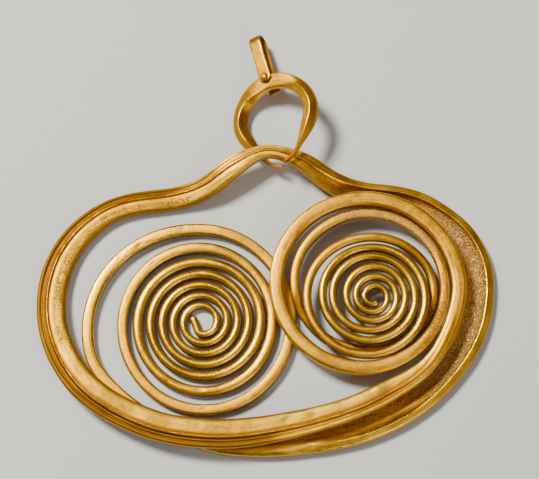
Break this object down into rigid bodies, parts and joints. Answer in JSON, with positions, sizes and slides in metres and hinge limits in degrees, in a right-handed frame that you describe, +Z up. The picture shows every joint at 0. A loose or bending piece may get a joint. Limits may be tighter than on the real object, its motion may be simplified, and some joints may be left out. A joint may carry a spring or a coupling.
{
  "type": "double spiral earring",
  "caption": "Ancient gold ornament: one bar bent into a hoop whose two ends coil into flat spirals, hung from an open ring with pointed ends and a folded, riveted bail.",
  "frame": {"origin": "middle of the footprint, on the ground under the lying object", "axes": "+Z up, away from the ground the object lies on; +Y from the coils towards the ring and the bail; +X from the left coil to the right coil"},
  "size_m": [0.0602, 0.0572, 0.007],
  "materials": {
    "bar_gold": "hammered gold, worn soft, with fine lengthwise scoring and reddish brown deposit in its hollows",
    "ring_gold": "hammered gold, worn smooth",
    "bail_gold": "thin beaten gold strip, worn smooth",
    "rivet_gold": "small hammered gold rivet, polished by wear"
  },
  "bodies": {
    "root": {"spiral_bar": "bar_gold", "suspension_ring": "ring_gold", "folded_bail": "bail_gold", "rivet": "rivet_gold"}
  },
  "joints": []
}
